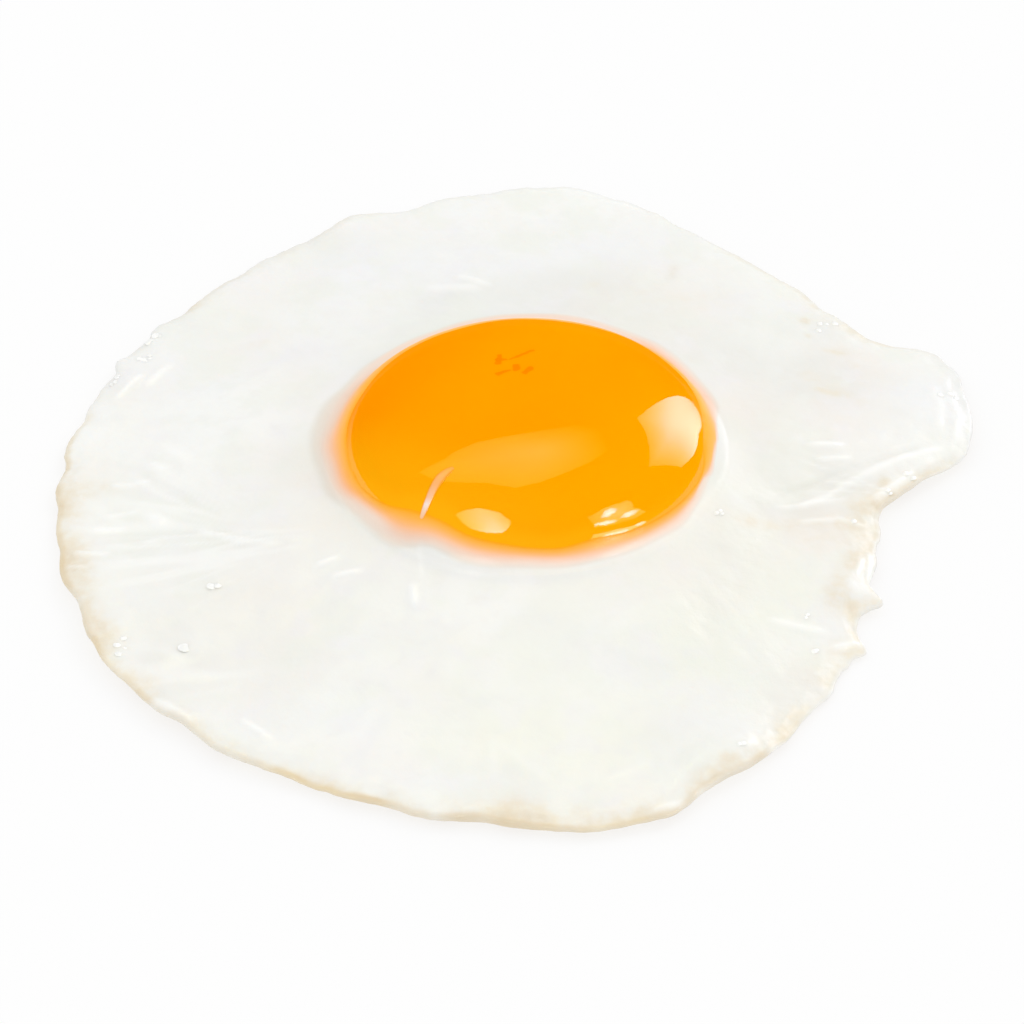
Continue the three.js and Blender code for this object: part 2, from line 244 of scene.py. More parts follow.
# Brown streaks and patches of the top, as FOLDS are, with a depth of colour for the height.
SCORCHES = [
    ((24, -11), (31.5, -8.8), 1.4, 0.2),
    ((31.5, -8.8), (38, -8.4), 1.2, 0.35),
    ((30, -11.5), (36, -11), 1.0, 0.25),
    ((36.9, -6), (41, -4), 0.9, 0.5),
    ((41, -4), (40.1, -0.8), 0.8, 0.35),
    ((33.5, 13.9), (36.4, 13.8), 0.8, 0.45),
    ((36, 12.8), (39, 12.2), 1.2, 0.15),
    ((31, 17), (37, 15), 2.4, 0.2),
    ((36.8, -12), (35.4, -17), 1.3, 0.35),
    ((34.6, -17.6), (33.6, -21.5), 1.5, 0.35),
    ((34.4, -22.4), (36.5, -22.6), 0.9, 0.35),
    ((20, -48), (22.5, -47.2), 0.9, 0.3),
    ((32.6, 30.3), (32.8, 28.6), 0.8, 0.35),
    ((32.8, 26.7), (33.2, 25.6), 0.6, 0.3),
    ((34.4, 23.4), (37.2, 22.9), 0.8, 0.25),
    ((36.5, 24.5), (41.5, 22), 1.2, 0.2),
    ((38, 20.8), (38.6, 20.4), 0.8, 0.35),
    ((-33, -9), (-27, -7), 2.5, 0.08),
    ((6.5, 34.5), (10.5, 33), 2.2, 0.16),
    ((13, 34), (20, 33), 2.4, 0.16),
    ((17.6, 40.5), (17, 37), 0.8, 0.25),
    ((22, 31), (27, 31), 1.4, 0.12),
    ((-48, -24.5), (-45.6, -28.5), 1.4, 0.3),
    ((-52, -11.5), (-50.2, -17.5), 1.7, 0.6),
    ((-52, -1.5), (-47, -1.8), 1.6, 0.35),
    ((21, -11), (27, -9.8), 1.8, 0.15),
    ((-41.5, -34.5), (-40, -36), 1.6, 0.3),
    ((-3.5, -57), (-1.5, -53.5), 1.6, 0.15),
    ((-18, 35), (-15.5, 31), 1.3, 0.12),
    ((-33, 24), (-30, 24.5), 1.0, 0.15),
]

# Where the white is cooler, yellower and more tan, and where shade is painted on it (light, where the
# strength is negative): middle, size and strength.
COOL = [
    ((-38, 14), 12, 0.9), ((-15, 42), 15, 0.9), ((14, 44), 10, 0.5), ((2, -27), 10, 1.0),
    ((-24, 16), 6, 0.6), ((48, 14), 6, 0.8), ((-42, -38), 7, 0.5), ((4, -52), 8, 0.4),
]
WARM = [
    ((-25, -14), 9, 0.5), ((0, -38), 16, 0.5), ((22, -26), 13, 0.7), ((25, -13), 10, 1.0),
    ((-36, -24), 9, 0.3),
]
ROSY = [
    ((27, -10), 8, 0.9), ((32, -9), 5, 0.5), ((20, -21), 5, 0.6), ((-24, -3), 4, 0.5), ((28, 8), 7, 0.5),
    ((36, 12), 6, 0.5), ((37, 21), 5, 0.8), ((8, 26), 8, 0.7), ((12, 35), 8, 0.5), ((20, 28), 6, 0.5),
    ((-28, -24), 8, 0.3), ((-6, -46), 7, 0.3), ((-26, 12), 5, 0.3), ((32, -36), 6, 0.6),
]
SHADE_AND_LIGHT_PATCHES = [
    ((30, -16), 5, -0.8), ((2, 31), 8, 0.6), ((0, -25), 6, -0.5), ((26, 4), 10, 0.6), ((33, 16), 6, 0.9),
    ((22, 20), 7, 0.6), ((38, -4), 7, 0.2), ((6, 27), 12, 0.8), ((-14, 28), 8, 0.3), ((-27, 23), 4, 0.4),
    ((28, -12), 10, 0.8), ((-8, -22), 5, -0.3), ((-41, 6), 12, -0.8), ((-24, -20), 8, -0.3),
    ((32, -34), 8, 0.6), ((-26, 46), 8, 0.6), ((4, 48), 9, -0.7), ((-20, 36), 5, -0.3), ((0, -54), 12, 0.4),
    ((-39, -36), 9, 0.8), ((-31, 9), 6, -0.5),
]

AROUND = 800  # points round each ring of the white
ACROSS = 88  # rings from film to rim
YOLK_AROUND = 256  # points round each ring of the yolk
LATTICE = 64  # cells of the random relief before it repeats


def sin(angle):
    return np.sin(np.radians(angle))


def cos(angle):
    return np.cos(np.radians(angle))


def bump(distance, spread):
    return np.exp(-((distance / spread) ** 2))


def ease(t):
    return t * t * (3 - 2 * t)


def step(low, high, value):
    """A smooth step from 0 at low to 1 at high."""
    return ease(np.clip((value - low) / (high - low), 0, 1))


def turn(start, end):
    """The shortest way round from one angle to another."""
    return (end - start + 180) % 360 - 180


def waves(table, angle):
    return sum(depth * sin(count * angle + start) for count, depth, start in table)


def noise(x, y, cell, seed):
    """Smooth random relief over the plane, from -1 to 1, with lumps about a cell across."""
    rng = np.random.default_rng(seed)
    lattice = rng.uniform(-1, 1, (LATTICE, LATTICE))
    heading = rng.uniform(0, 360)
    u = (x * cos(heading) + y * sin(heading)) / cell
    v = (y * cos(heading) - x * sin(heading)) / cell
    i, j = np.floor(u).astype(int), np.floor(v).astype(int)
    s, t = ease(u - i), ease(v - j)

    def corner(a, b):
        return lattice[(i + a) % LATTICE, (j + b) % LATTICE]

    near = corner(0, 0) * (1 - s) + corner(1, 0) * s
    far = corner(0, 1) * (1 - s) + corner(1, 1) * s
    return near * (1 - t) + far * t


def lumps(x, y, cell, seed, octaves=3):
    return sum(noise(x, y, cell / 2**k, seed + k) / 2**k for k in range(octaves))


def smooth_round(table, column, angle):
    """A column of a table of angles, as a smooth closed curve through its values."""
    at, values = np.array(table).T[[0, column]]
    at = np.concatenate([at[-2:] - 360, at, at[:2] + 360])
    values = np.concatenate([values[-2:], values, values[:2]])
    slope = np.gradient(values)
    slope[1:-1] = (values[2:] - values[:-2]) / (at[2:] - at[:-2])
    wrapped = at[2] + (angle - at[2]) % 360
    i = np.searchsorted(at, wrapped, side="right") - 1
    span = at[i + 1] - at[i]
    t = (wrapped - at[i]) / span
    curve = ease(1 - t) * values[i] + ease(t) * values[i + 1]
    return curve + span * t * (1 - t) * ((1 - t) * slope[i] - t * slope[i + 1])


def rim_radius(angle):
    spurs = sum(out * bump(turn(at, angle), spread) for at, spread, out in SPURS)
    smooth = smooth_round(RIM, 1, angle) + spurs + waves(NIBBLES, angle)
    x, y = smooth * cos(angle), smooth * sin(angle)
    rough = 0.12 + 0.2 * bump(turn(150, angle), 25) + 0.22 * bump(turn(-32, angle), 16)
    return smooth + rough * lumps(x, y, 2.2, 11)


def rim_lift(angle):
    return RIM_LIFT + waves(LIFTS, angle)


def waist_radius(angle):
    return 1 / np.hypot(cos(angle) / HALF_WIDTH, sin(angle) / HALF_DEPTH)


def yolk_meridian(latitude, gap=0.0):
    """A point of the yolk's section: its share of the waist's radius, and its height."""
    power = 2 / FULLNESS
    reach = np.where(latitude > 0, RISE + gap, -DROP - gap)
    return cos(latitude) ** power, WAIST_Z + reach * np.abs(sin(latitude)) ** power


def yolk_height(x, y):
    """The height of the yolk's dome over a point."""
    share = np.hypot(x / HALF_WIDTH, y / HALF_DEPTH)
    return WAIST_Z + RISE * np.clip(1 - share**FULLNESS, 0, 1) ** (1 / FULLNESS)


def lap_latitude(angle):
    return LAP["mean"] + LAP["sway"] * cos(angle - LAP["towards"])


def lip_radius(angle):
    return waist_radius(angle) + SEAT_GAP + FILM


def foot_radius(angle):
    return lip_radius(angle) + FOOT + FAR_FOOT * bump(turn(95, angle), 45)


def folds(x, y, table):
    """The sum of the ridges of a table."""
    total = 0
    for start, end, width, height in table:
        dx, dy = end[0] - start[0], end[1] - start[1]
        along = ((x - start[0]) * dx + (y - start[1]) * dy) / max(dx * dx + dy * dy, 1e-9)
        near = np.clip(along, 0, 1)
        taper = 0.4 + 0.6 * np.sqrt(4 * near * (1 - near)) if dx or dy else 1
        distance = np.hypot(x - start[0] - near * dx, y - start[1] - near * dy)
        total = total + height * taper * bump(distance, width)
    return total


def swells(x, y):
    return sum(
        height * sin(360 * (x * cos(heading) + y * sin(heading)) / length + start)
        for length, height, heading, start in SWELLS
    )


def streaks(x, y):
    """The relief of FANS, from -1 to 1 times their heights."""
    total = 0
    for seed, fan in enumerate(FANS, 70):
        dx, dy = x - fan["point"][0], y - fan["point"][1]
        distance = np.hypot(dx, dy)
        heading = turn(fan["towards"], np.degrees(np.arctan2(dy, dx)))
        inside = step(0, fan["near"], distance) * (1 - step(0.6 * fan["far"], fan["far"], distance))
        lines = bump(lumps(heading / fan["pitch"], distance / 8, 1, seed, 1), 0.35) - 0.3
        total = total + fan["height"] * lines * inside * bump(heading, fan["spread"])
    return total


def edge_thinning(angle, radius):
    """How far the top sinks, as the rim thins out."""
    return 0.5 * bump(rim_radius(angle) - radius, 1.5)


def rim_bead(angle, radius):
    """The glassy bead that runs inside the rim of the tongue, and along the lower right rim."""
    inset = rim_radius(angle) - radius
    tongue = bump(turn(16, angle), 11) * (bump(inset - 2.1, 0.6) - 0.6 * bump(inset - 1.1, 0.5))
    lower = bump(turn(-60, angle), 9) * bump(inset - 1.6, 0.5)
    return (0.08 * tongue + 0.06 * lower) * (1 + waves([(43, 0.5, 0), (71, 0.4, 60)], angle))


def top_height(angle, radius):
    """The height of the white's top: mound, film, swells, folds, pleats and fine lumps."""
    share = (radius - lip_radius(angle)) / (smooth_round(RIM, 1, angle) - lip_radius(angle))
    rim_top = rim_lift(angle) + RIM_THICKNESS
    mound = rim_top + (MOUND_Z - rim_top) * np.clip(1 - share, 0, None) ** MOUND_POWER
    climb = yolk_meridian(lap_latitude(angle))[1] - MOUND_Z
    film = climb * bump(radius - waist_radius(angle), FLANK_REACH)
    x, y = radius * cos(angle), radius * sin(angle)
    relief = swells(x, y) + folds(x, y, FOLDS) + folds(x, y, STRANDS) + streaks(x, y)
    grainy = bump(rim_radius(angle) - radius, 2.5)
    relief = relief + 0.13 * lumps(x, y, 5.5, 3) + (0.03 + 0.09 * grainy) * lumps(x, y, 1.5, 7)
    relief = relief + rim_bead(angle, radius)
    return mound + film + step(0, CALM_SHARE, share) * relief - edge_thinning(angle, radius)


def height_at(x, y):
    return top_height(np.degrees(np.arctan2(y, x)), np.hypot(x, y))


def ring(angle, radius, z):
    """Points round the origin, as an array of x, y, z."""
    x, y = radius * cos(angle), radius * sin(angle)
    return np.stack([x, y, np.broadcast_to(z, x.shape)], axis=-1)


def mesh_of(name, points, faces, masks=None):
    """A smooth mesh object from points in millimetres, with a number for each point in each mask."""
    mesh = bpy.data.meshes.new(name)
    mesh.from_pydata((np.asarray(points) * MM).tolist(), [], faces)
    mesh.polygons.foreach_set("use_smooth", [True] * len(mesh.polygons))
    for mask, values in (masks or {}).items():
        layer = mesh.attributes.new(mask, "FLOAT", "POINT")
        layer.data.foreach_set("value", np.asarray(values, dtype=np.float32))
    mesh.validate()
    piece = bpy.data.objects.new(name, mesh)
    bpy.context.scene.collection.objects.link(piece)
    return piece


def body_of_rings(name, rings, masks):
    """A closed body whose skin runs ring by ring, from one middle point to another."""
    count, around = rings.shape[:2]
    points = np.concatenate([rings.reshape(-1, 3), rings[:1].mean(axis=1), rings[-1:].mean(axis=1)])
    start, end = count * around, count * around + 1
    here = np.arange(around)
    after = (here + 1) % around
    quads = []
    for k in range(count - 1):
        first, second = k * around, (k + 1) * around
        quads.append(np.stack([first + here, second + here, second + after, first + after], axis=1))
    caps = [(start, i, j) for i, j in zip(here.tolist(), after.tolist())]
    base = (count - 1) * around
    caps += [(end, base + j, base + i) for i, j in zip(here.tolist(), after.tolist())]
    spread = {mask: np.concatenate([v.reshape(-1), v[0].mean(keepdims=True), v[-1].mean(keepdims=True)])
              for mask, v in masks.items()}
    return mesh_of(name, points, np.concatenate(quads).tolist() + caps, spread)


def film_end(angle):
    return smooth_round(HALO, 1, angle) + waves(FILM_WAVES, angle)


def film_rings(angle):
    """The film, from its feathered end on the yolk, down the yolk's flank and out onto the top."""
    foot = foot_radius(angle)
    foot_z = top_height(angle, foot)
    slope = (top_height(angle, foot + 0.5) - foot_z) / 0.5
    rings = []
    for t in np.linspace(0, 1, 17)[:-1]:
        latitude = film_end(angle) + (FILM_LOW - film_end(angle)) * t
        share, z = yolk_meridian(latitude)
        skin = -FILM_SINK + FILM * t**1.4
        over = (share * waist_radius(angle) + skin * cos(latitude), z + skin * sin(latitude))
        inward = (foot - waist_radius(angle) - 0.4) * (1 - t)
        along = (foot - inward, foot_z - slope * inward)
        rings.append(ring(angle, *(a + step(0.3, 1, t) * (b - a) for a, b in zip(over, along))))
    return rings


def seat_rings(angle):
    """The hollow under the yolk, from its floor up to the film's end."""
    rings = []
    for t in np.linspace(0, 1, 6):
        latitude = SEAT_LOW + t * (film_end(angle) - 1 - SEAT_LOW)
        gap = SEAT_GAP * (1 - step(0.6, 1, t)) - 0.06 * t
        share, z = yolk_meridian(latitude, gap)
        rings.append(ring(angle, share * (waist_radius(angle) + gap), z))
    return rings


def under_rings(angle):
    """The underside: the rim's rounded edge, the lifted border, and the flat that it rests on."""
    rim, lift = rim_radius(angle), rim_lift(angle)
    top = top_height(angle, rim - 0.5)
    low = np.minimum(lift + 0.35, top - 0.35)
    edge = [ring(angle, rim - 0.45 * (1 - cos(tilt)), low + (top - low) * (0.5 - 0.5 * sin(tilt)))
            for tilt in (-60, -30, 0, 30, 70)]
    border = [ring(angle, rim * t, low * step(REST_SHARE, 1, t) ** 0.7)
              for t in (0.97, 0.93, 0.88, REST_SHARE)]
    flat = [ring(angle, rim * t, 0) for t in (0.6, 0.35, 0.1)]
    return edge + border + flat


def make_white():
    angle = np.arange(AROUND) * 360 / AROUND
    foot = foot_radius(angle)
    rim = rim_radius(angle) - RIM_EDGE
    even = np.linspace(0, 1, ACROSS)
    shares = even - 0.4 * np.sin(2 * np.pi * even) / (2 * np.pi)
    top = []
    for share in shares:
        radius = foot + share * (rim - foot)
        top.append(ring(angle, radius, top_height(angle, radius)))
    seat, film, under = seat_rings(angle), film_rings(angle), under_rings(angle)
    rings = np.array(seat + film + top + under)
    x, y = rings[..., 0], rings[..., 1]
    inset = np.clip(rim_radius(angle) - np.hypot(x, y), 0, None)
    crests = folds(x, y, STRANDS) + 2 * streaks(x, y)
    away = film_arc(rings, len(seat))
    below = np.zeros(x.shape)
    below[4 - len(under):] = 1
    # lit marks a painted glow of light on the film's near side, which lifts its shade; dull takes the gloss
    # off the right; left marks painted shade on the halo's left
    masks = {
        "halo": np.clip(halo(angle, away) / HALO_SPAN, 0, 1),
        "lit": np.clip(-0.05 - 1.2 * sin(angle), 0, 1) * (1 - step(1, 3.5, away)),
        "toast": toast(angle, x, y, inset),
        "line": edge_line(angle, x, y, inset),
        "clear": clear_edge(angle, inset),
        # crest marks the ridges, which get a painted highlight and more gloss
        "crest": np.clip(crests / 0.3, 0, 1),
        "dull": np.broadcast_to(bump(turn(-22, angle), 34), x.shape),
        "left": np.broadcast_to(0.4 * bump(turn(178, angle), 38), x.shape),
        "cool": tint(x, y, COOL, 51),
        "warm": tint(x, y, WARM, 61),
        "rosy": tint(x, y, ROSY, 81),
        # this mask paints shade and light on the white: shade from its patches and the ring round the yolk,
        # light where a patch's strength is negative, plus some random mottle
        "painted_shading": 0.5 + 0.5 * (tint(x, y, SHADE_AND_LIGHT_PATCHES, 91, -1) + shading_round_yolk(angle, x, y)),
        "below": below,
    }
    return body_of_rings("egg_white_skin", rings, masks)


def film_arc(rings, seat_count):
    """How far each point is, along the skin, from where the film comes out of the yolk."""
    steps = np.linalg.norm(np.diff(rings, axis=0, prepend=rings[:1]), axis=2)
    steps[: seat_count + 3] = 0
    return np.cumsum(steps, axis=0)


def halo(angle, away):
    """How far out of the halo each point is: 0 at the film's end, 1 where pale, HALO_SPAN in the white."""
    reach, border, width = (smooth_round(HALO, column, angle) for column in (2, 3, 4))
    return np.minimum(away / reach, 1.2) + 0.6 * np.maximum(away - border, 0) / width


def tint(x, y, table, seed, low=0):
    """A soft uneven mask over the areas of a table."""
    areas = sum(depth * bump(np.hypot(x - mx, y - my), size) for (mx, my), size, depth in table)
    return np.clip(areas + 0.35 * lumps(x, y, 9, seed), low, 1)


def shading_round_yolk(angle, x, y):
    """A ring of painted shade on the white, round the yolk's far side and its left."""
    outside = np.hypot(x, y) - waist_radius(angle)
    return 0.65 * bump(outside - 3, 4.5) * bump(turn(150, angle), 65)


def toasting(angle):
    """The rim's toasting at an angle: line, width, depth and clearness."""
    at, *columns = np.array(TOASTING).T
    return [np.interp(angle, at, column, period=360) for column in columns]


def toast(angle, x, y, inset):
    """How tan the white is: a band along the rim, and the scorches."""
    _, width, depth, _ = toasting(angle)
    band = depth * np.exp(-((inset / width) ** 1.5)) * (0.9 + 0.5 * lumps(x, y, 3, 31))
    spots = folds(x, y, SCORCHES) * (0.9 + 0.5 * lumps(x, y, 1.8, 37))
    return np.clip(band + spots, 0, 1)


def edge_line(angle, x, y, inset):
    """The brown line along the rim's edge."""
    line = toasting(angle)[0]
    return np.clip(line * np.exp(-((inset / 0.75) ** 2)) * (0.95 + 0.3 * lumps(x, y, 3, 41)), 0, 1)


def clear_edge(angle, inset):
    """The grey of the rim's clear edge, and of the clear border round the tongue's end."""
    edge = toasting(angle)[3] * bump(inset, 0.4 + 0.5 * bump(turn(125, angle), 35))
    border = 0.6 * bump(turn(16, angle), 12) * bump(inset - 1.1, 0.7)
    return np.clip(edge + border, 0, 1)


def make_yolk():
    angle = np.arange(YOLK_AROUND) * 360 / YOLK_AROUND
    latitudes = np.concatenate([np.linspace(88, -12, 90), np.linspace(-16, -84, 16)])
    near_side = 0.5 - 0.5 * sin(angle)
    rings, painted_glow_shares = [], []
    for latitude in latitudes:
        share, z = yolk_meridian(np.full_like(angle, latitude))
        rings.append(ring(angle, share * waist_radius(angle), z))
        # how strongly the yolk's near side glows round the film's end: painted light that lifts its shade
        # there
        painted_glow_shares.append(near_side * (1 - step(-4, 16, latitude - film_end(angle))))
    return body_of_rings("egg_yolk_skin", np.array(rings), {"film": np.array(painted_glow_shares)})


# The strand of white that crosses the yolk at its near left: points of its middle, seen from above, with
# its half width at each. The points were picked on the photo and turned into millimetres with a script.
# Some are as it printed them.
STRAND = [
    (-8.2, -11.6, 0.25), (-8.9, -12.0, 0.5), (-9.65, -12.6, 0.62), (-10.25, -13.55, 0.56),
    (-10.73, -14.55, 0.5), (-11.16, -15.4, 0.44), (-11.56, -16.1, 0.36), (-11.85, -16.5, 0.2),
]
STRAND_THICKNESS = 0.16  # as a share of its width
YOLK_EDGE = 20.3  # the strand lies on the white beyond this radius


def make_strand():
    """A flattened cord that lies on the yolk and runs out onto the white."""
    knots = np.array(STRAND)
    finer = np.linspace(0, len(knots) - 1, 46)
    x, y, width = (np.interp(finer, np.arange(len(knots)), knots[:, k]) for k in range(3))
    for _ in range(12):
        x[1:-1], y[1:-1] = (x[:-2] + x[2:]) / 2, (y[:-2] + y[2:]) / 2
    on_white = np.where(np.hypot(x, y) > YOLK_EDGE, height_at(x, y), 0)
    z = np.maximum(yolk_height(x, y), on_white)
    middle = np.stack([x, y, z], axis=1)
    ahead = np.gradient(middle, axis=0)
    ahead /= np.linalg.norm(ahead, axis=1, keepdims=True)
    outward = np.stack([x / HALF_WIDTH**2, y / HALF_DEPTH**2, (z - WAIST_Z) / RISE**2], axis=1)
    side = np.cross(ahead, outward)
    side /= np.linalg.norm(side, axis=1, keepdims=True)
    up = np.cross(side, ahead)
    around = np.arange(16) * 360 / 16
    rings = middle[:, None] + width[:, None, None] * (
        side[:, None] * cos(around)[:, None] + STRAND_THICKNESS * up[:, None] * sin(around)[:, None])
    along = np.broadcast_to(np.linspace(0, 1, len(rings))[:, None], rings.shape[:2])
    across = np.broadcast_to(cos(around) ** 2, rings.shape[:2])
    return body_of_rings("egg_white_strand", rings, {"along": along, "across": across})


FLATNESS = 0.28  # a bubble's height as a share of its radius
BUBBLE_SINK = 0.02  # how deep in the white a bubble starts
BUBBLE_SIDES, BUBBLE_LEVELS = 14, 5


def bubble(x, y, z, size, base):
    """The corners of a closed dome, numbered from base, and its faces."""
    sides, levels = BUBBLE_SIDES, BUBBLE_LEVELS
    points = []
    for k in range(levels):
        share = 1 - k / levels
        height = FLATNESS * size * (1 - share**2) ** 2
        for s in range(sides):
            a = 360 * s / sides
            points.append((x + size * share * cos(a), y + size * share * sin(a), z + height))
    points.append((x, y, z + FLATNESS * size))
    points += points[:sides]  # the flat underside has corners of its own, for a crisp edge
    faces = []
    for k in range(levels - 1):
        low, high = base + k * sides, base + (k + 1) * sides
        for s in range(sides):
            t = (s + 1) % sides
            faces.append((low + s, low + t, high + t, high + s))
    top, last = base + levels * sides, base + (levels - 1) * sides
    faces += [(last + s, last + (s + 1) % sides, top) for s in range(sides)]
    faces.append(tuple(range(top + sides, top, -1)))
    return points, faces


def make_bubbles():
    """Small domes that merge into the white, in the clusters of BUBBLES, and stay inside its rim."""
    rng = np.random.default_rng(5)
    points, faces = [], []
    for (mx, my), spread, count, small, large in BUBBLES:
        for _ in range(count):
            x, y = mx + spread * rng.normal() * 0.6, my + spread * rng.normal() * 0.6
            size = rng.uniform(small, large)
            heading, away = math.degrees(math.atan2(y, x)), math.hypot(x, y)
            inner = min(away, float(rim_radius(heading)) - 0.4 - size) / away
            x, y = x * inner, y * inner
            z = float(height_at(np.array(x), np.array(y))) - BUBBLE_SINK
            corners, sides = bubble(x, y, z, size, len(points))
            points += corners
            faces += sides
    return mesh_of("egg_white_bubbles", points, faces)


class Finish:
    """A material's node tree."""

    def __init__(self, name):
        self.material = bpy.data.materials.new(name)
        self.material.use_nodes = True
        self.tree = self.material.node_tree
        self.tree.nodes.clear()

    def node(self, kind, inputs=None, **settings):
        made = self.tree.nodes.new("ShaderNode" + kind)
        for key, value in settings.items():
            setattr(made, key, value)
        for key, value in (inputs or {}).items():
            if isinstance(value, bpy.types.NodeSocket):
                self.tree.links.new(value, made.inputs[key])
            else:
                made.inputs[key].default_value = value
        return made

    def math(self, operation, *values, clamp=False):
        return self.node("Math", dict(enumerate(values)), operation=operation, use_clamp=clamp).outputs[0]

    def vector(self, operation, *values):
        made = self.node("VectorMath", dict(enumerate(values)), operation=operation)
        return made.outputs["Value" if operation in ("DOT_PRODUCT", "DISTANCE") else "Vector"]

    def mask(self, name):
        return self.node("Attribute", attribute_name=name).outputs["Fac"]

    def place(self):
        return self.node("TexCoord").outputs["Object"]

    def noise(self, size, detail=3.0):
        """Noise from 0 to 1 with lumps about size millimetres across."""
        inputs = {"Vector": self.place(), "Scale": 1 / (size * MM), "Detail": detail, "Roughness": 0.55}
        return self.node("TexNoise", inputs).outputs[0]

    def span(self, value, low, high, start=0.0, end=1.0):
        inputs = {"Value": value, "From Min": low, "From Max": high, "To Min": start, "To Max": end}
        return self.node("MapRange", inputs, interpolation_type="SMOOTHSTEP").outputs[0]

    def mix(self, share, first, second):
        inputs = {0: share, 6: colour(first), 7: colour(second)}
        return self.node("Mix", inputs, data_type="RGBA").outputs[2]

    def ramp(self, value, *stops):
        """Colours at places from 0 to 1, blended between them."""
        made = self.node("ValToRGB", {"Fac": value})
        made.color_ramp.interpolation = "LINEAR"
        points = made.color_ramp.elements
        while len(points) < len(stops):
            points.new(0.5)
        for point, (place, rgb) in zip(points, stops):
            point.position, point.color = place, colour(rgb)
        return made.outputs["Color"]

    def gloss(self, share):
        """A coat's weight: whole where the surface is met head on, and less where it is met at a slant."""
        slant = self.node("LayerWeight", {"Blend": 0.5}).outputs["Facing"]
        return self.math("MULTIPLY", self.span(slant, 0.38, 0.72, 1.0, 0.01), share)

    def finish(self, **inputs):
        sockets = {key.replace("_", " "): value for key, value in inputs.items()}
        shader = self.node("BsdfPrincipled", sockets)
        self.node("OutputMaterial", {"Surface": shader.outputs[0]})
        return self.material


def colour(value):
    return value if isinstance(value, bpy.types.NodeSocket) else (*value, 1.0)


# Among these, the darker and lighter tones are painted shade and light, the crest tone a painted highlight on
# ridges, the greyed tone painted shade on the halo's left, and the shine tone the colour of a painted glow.
PLAIN, COOLER, WARMER = (0.847, 0.851, 0.818), (0.848, 0.852, 0.857), (0.842, 0.846, 0.772)
ROSIER, PAINTED_SHADE, PAINTED_LIGHT = (0.838, 0.79, 0.735), (0.75, 0.755, 0.715), (0.885, 0.892, 0.865)
TAN, BROWN, CRUST = (0.8, 0.745, 0.63), (0.755, 0.675, 0.535), (0.62, 0.47, 0.3)
LILAC, OLIVE, EDGE = (0.83, 0.82, 0.835), (0.812, 0.828, 0.76), (0.7, 0.575, 0.38)
SPECKLE, CLEAR, PAINTED_CREST_HIGHLIGHT = (0.82, 0.815, 0.785), (0.76, 0.765, 0.745), (0.95, 0.955, 0.93)
PAINTED_HALO_SHADE, PALE_CRUST, PAINTED_GLOW = (0.7, 0.72, 0.65), (0.86, 0.76, 0.56), (0.9, 0.83, 0.77)

# The halo's colours from the film's end outwards, worked out from the photo's colours along lines across it.
GLOW = [
    (0.0, (0.99, 0.355, 0.004)), (0.056, (0.99, 0.388, 0.017)), (0.11, (0.99, 0.415, 0.05)),
    (0.167, (0.985, 0.437, 0.075)), (0.25, (0.984, 0.462, 0.129)), (0.333, (0.974, 0.495, 0.22)),
    (0.4, (0.957, 0.54, 0.311)), (0.483, (0.923, 0.6, 0.432)), (0.556, (0.89, 0.646, 0.513)),
    (0.667, (0.873, 0.702, 0.595)), (0.75, (0.848, 0.73, 0.641)), (0.833, (0.818, 0.752, 0.682)),
    (1.0, (0.82, 0.8, 0.74)),
]


